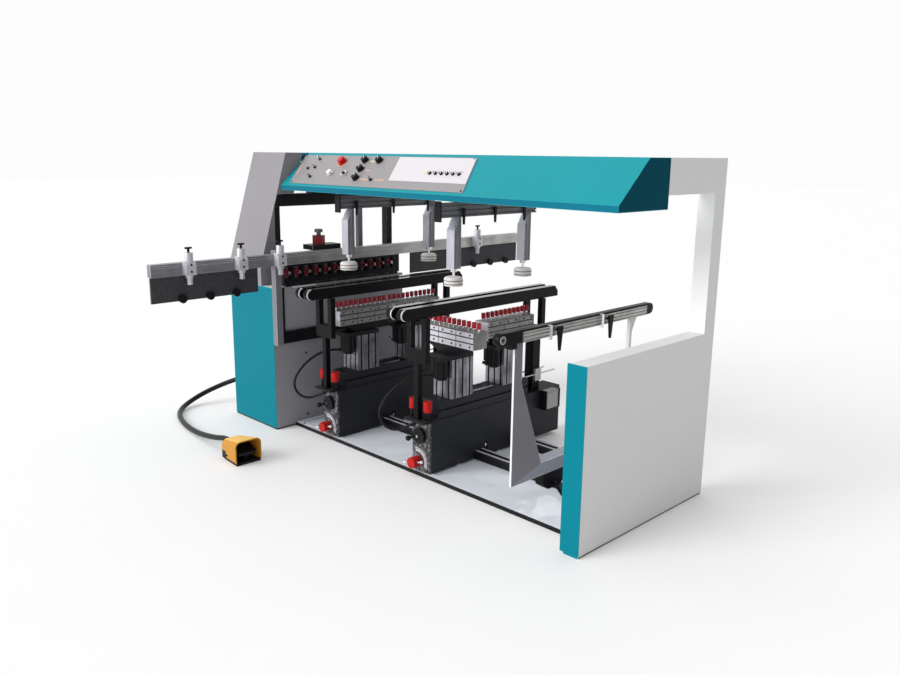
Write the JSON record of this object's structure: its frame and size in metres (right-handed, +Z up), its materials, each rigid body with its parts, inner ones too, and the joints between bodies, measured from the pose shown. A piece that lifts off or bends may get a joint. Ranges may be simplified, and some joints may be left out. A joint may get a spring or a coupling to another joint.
{
  "type": "multi-spindle panel boring machine",
  "caption": "Floor-standing panel boring machine: sliding carriages with lifting, swivelling rows of drill chucks under work bars, a side boring head, a long fence and an overhead control hood.",
  "frame": {"origin": "on the floor, under the middle of the body between the cabinet's left side and the right end frame", "axes": "+X from the left cabinet to the right end frame, +Y from the operator to the rear, +Z up"},
  "size_m": [2.7476, 2.57, 1.471],
  "materials": {
    "black_paint": "satin black paint",
    "light_paint": "light grey powder coat",
    "pan_paint": "pale grey paint",
    "speckled_paint": "speckled mid grey powder coat",
    "teal_paint": "blue-green powder coat",
    "grey_paint": "warm grey paint",
    "panel_paint": "pale control panel face",
    "dark_paint": "dark grey textured paint",
    "yellow_paint": "orange-yellow paint",
    "steel": "ground steel",
    "chrome": "polished",
    "alloy": "drawn and anodised",
    "black_plastic": "matte black",
    "red_plastic": "glossy red",
    "white_plastic": "glossy white",
    "chuck_red": "dark red collars",
    "cream_plastic": "cream",
    "hose_grey": "ribbed black hose",
    "hose_black": "black"
  },
  "bodies": {
    "frame": {"base_frame": "black_paint", "base_pan": "pan_paint", "guide_rails": "steel", "left_cabinet": "speckled_paint", "front_covers": "teal_paint", "column_cover": "grey_paint", "upper_frame": "black_paint", "right_end_frame": "light_paint", "hood": "teal_paint", "control_panel": "panel_paint", "fence_beam": "alloy", "fence_faces": "black_plastic", "side_frame": "black_paint", "stop_bodies": "alloy", "pedal_guard": "yellow_paint", "pedal_hose": "hose_grey"},
    "side_head": {"side_head": "black_paint", "side_chucks": "chuck_red"},
    "support": {"support_stand": "light_paint", "support_rail": "alloy", "support_strip": "black_plastic"},
    "pedal_treadle": {"pedal_treadle": "black_plastic"},
    "stop_pins": {"stop_pins": "chrome"},
    "depth_turret": {"depth_turret": "chuck_red"},
    "emergency_button": {"emergency_button": "red_plastic"},
    "start_button": {"start_button": "white_plastic"},
    "selector_1": {"selector_1": "black_plastic"},
    "selector_2": {"selector_2": "black_plastic"},
    "carriage_1": {"carriage_1": "dark_paint", "work_bars_1": "black_plastic", "lift_columns_1": "alloy", "drive_motor_1": "dark_paint", "air_hose_1": "hose_black"},
    "handwheel_1": {"handwheel_1": "black_plastic"},
    "lock_knob_1": {"lock_knob_1": "red_plastic"},
    "presser_1": {"presser_beam_1": "alloy", "presser_cylinders_1": "alloy"},
    "presser_pads_1": {"presser_pads_1": "cream_plastic"},
    "lift_front_1": {"lift_front_1": "alloy"},
    "head_front_1": {"head_front_1": "alloy", "chucks_front_1": "chuck_red"},
    "lift_rear_1": {"lift_rear_1": "alloy"},
    "head_rear_1": {"head_rear_1": "alloy", "chucks_rear_1": "chuck_red"},
    "carriage_2": {"carriage_2": "dark_paint", "work_bars_2": "black_plastic", "lift_columns_2": "alloy", "drive_motor_2": "dark_paint", "air_hose_2": "hose_black"},
    "handwheel_2": {"handwheel_2": "black_plastic"},
    "lock_knob_2": {"lock_knob_2": "red_plastic"},
    "presser_2": {"presser_beam_2": "alloy", "presser_cylinders_2": "alloy"},
    "presser_pads_2": {"presser_pads_2": "cream_plastic"},
    "lift_front_2": {"lift_front_2": "alloy"},
    "head_front_2": {"head_front_2": "alloy", "chucks_front_2": "chuck_red"},
    "lift_rear_2": {"lift_rear_2": "alloy"},
    "head_rear_2": {"head_rear_2": "alloy", "chucks_rear_2": "chuck_red"}
  },
  "joints": [
    {"name": "side_head_feed", "type": "slide", "parent": "frame", "child": "side_head", "axis": [1, 0, 0], "range_m": [0, 0.06]},
    {"name": "support_slide", "type": "slide", "parent": "frame", "child": "support", "axis": [1, 0, 0], "range_m": [-0.1, 0.15]},
    {"name": "stop_pins_lift", "type": "slide", "parent": "frame", "child": "stop_pins", "axis": [0, 0, 1], "range_m": [0, 0.035]},
    {"name": "depth_turret_turn", "type": "hinge", "parent": "frame", "child": "depth_turret", "pos_m": [-0.835, -0.125, 1], "axis": [0, 0, 1], "continuous": true},
    {"name": "emergency_press", "type": "slide", "parent": "frame", "child": "emergency_button", "axis": [0, 0.6723, -0.7403], "range_m": [0, 0.005], "stiffness_N_per_m": 800, "springref_m": -0.003},
    {"name": "start_press", "type": "slide", "parent": "frame", "child": "start_button", "axis": [0, 0.6723, -0.7403], "range_m": [0, 0.005], "stiffness_N_per_m": 800, "springref_m": -0.003},
    {"name": "selector_1_turn", "type": "hinge", "parent": "frame", "child": "selector_1", "pos_m": [-0.36, -0.17112, 1.43275], "axis": [0, -0.6723, 0.7403], "range_deg": [-45, 45]},
    {"name": "selector_2_turn", "type": "hinge", "parent": "frame", "child": "selector_2", "pos_m": [-0.252, -0.17038, 1.43342], "axis": [0, -0.6723, 0.7403], "range_deg": [-45, 45]},
    {"name": "pedal_press", "type": "hinge", "parent": "frame", "child": "pedal_treadle", "pos_m": [-0.564, -0.826, 0.032], "axis": [0, 1, 0], "range_deg": [0, 10], "stiffness_Nm_per_rad": 4, "springref_deg": -14.32},
    {"name": "carriage_1_slide", "type": "slide", "parent": "frame", "child": "carriage_1", "axis": [1, 0, 0], "range_m": [-0.05, 0.15]},
    {"name": "handwheel_1_turn", "type": "hinge", "parent": "carriage_1", "child": "handwheel_1", "pos_m": [-0.488, -0.33, 0.2], "axis": [0, -1, 0], "continuous": true},
    {"name": "lock_1_turn", "type": "hinge", "parent": "carriage_1", "child": "lock_knob_1", "pos_m": [-0.51, -0.33, 0.068], "axis": [0, -1, 0], "range_deg": [0, 30]},
    {"name": "presser_1_slide", "type": "slide", "parent": "frame", "child": "presser_1", "axis": [1, 0, 0], "range_m": [-0.05, 0.15]},
    {"name": "pads_1_press", "type": "slide", "parent": "presser_1", "child": "presser_pads_1", "axis": [0, 0, -1], "range_m": [0, 0.055], "stiffness_N_per_m": 400, "springref_m": -0.06},
    {"name": "lift_front_1_rise", "type": "slide", "parent": "carriage_1", "child": "lift_front_1", "axis": [0, 0, 1], "range_m": [0, 0.03]},
    {"name": "head_front_1_swivel", "type": "hinge", "parent": "lift_front_1", "child": "head_front_1", "pos_m": [-0.488, -0.114, 0.6], "axis": [0, 0, 1], "range_deg": [0, 90]},
    {"name": "lift_rear_1_rise", "type": "slide", "parent": "carriage_1", "child": "lift_rear_1", "axis": [0, 0, 1], "range_m": [0, 0.03]},
    {"name": "head_rear_1_swivel", "type": "hinge", "parent": "lift_rear_1", "child": "head_rear_1", "pos_m": [-0.488, 0.246, 0.6], "axis": [0, 0, 1], "range_deg": [0, 90]},
    {"name": "carriage_2_slide", "type": "slide", "parent": "frame", "child": "carriage_2", "axis": [1, 0, 0], "range_m": [-0.15, 0.3]},
    {"name": "handwheel_2_turn", "type": "hinge", "parent": "carriage_2", "child": "handwheel_2", "pos_m": [0.21, -0.33, 0.2], "axis": [0, -1, 0], "continuous": true},
    {"name": "lock_2_turn", "type": "hinge", "parent": "carriage_2", "child": "lock_knob_2", "pos_m": [0.188, -0.33, 0.068], "axis": [0, -1, 0], "range_deg": [0, 30]},
    {"name": "presser_2_slide", "type": "slide", "parent": "frame", "child": "presser_2", "axis": [1, 0, 0], "range_m": [-0.15, 0.3]},
    {"name": "pads_2_press", "type": "slide", "parent": "presser_2", "child": "presser_pads_2", "axis": [0, 0, -1], "range_m": [0, 0.055], "stiffness_N_per_m": 400, "springref_m": -0.06},
    {"name": "lift_front_2_rise", "type": "slide", "parent": "carriage_2", "child": "lift_front_2", "axis": [0, 0, 1], "range_m": [0, 0.03]},
    {"name": "head_front_2_swivel", "type": "hinge", "parent": "lift_front_2", "child": "head_front_2", "pos_m": [0.21, -0.114, 0.6], "axis": [0, 0, 1], "range_deg": [-90, 0]},
    {"name": "lift_rear_2_rise", "type": "slide", "parent": "carriage_2", "child": "lift_rear_2", "axis": [0, 0, 1], "range_m": [0, 0.03]},
    {"name": "head_rear_2_swivel", "type": "hinge", "parent": "lift_rear_2", "child": "head_rear_2", "pos_m": [0.21, 0.246, 0.6], "axis": [0, 0, 1], "range_deg": [0, 90]}
  ],
  "couplings": [
    {"joint": "handwheel_1_turn", "follows": "carriage_1_slide", "rad_per_m": 125},
    {"joint": "handwheel_2_turn", "follows": "carriage_2_slide", "rad_per_m": 125}
  ]
}
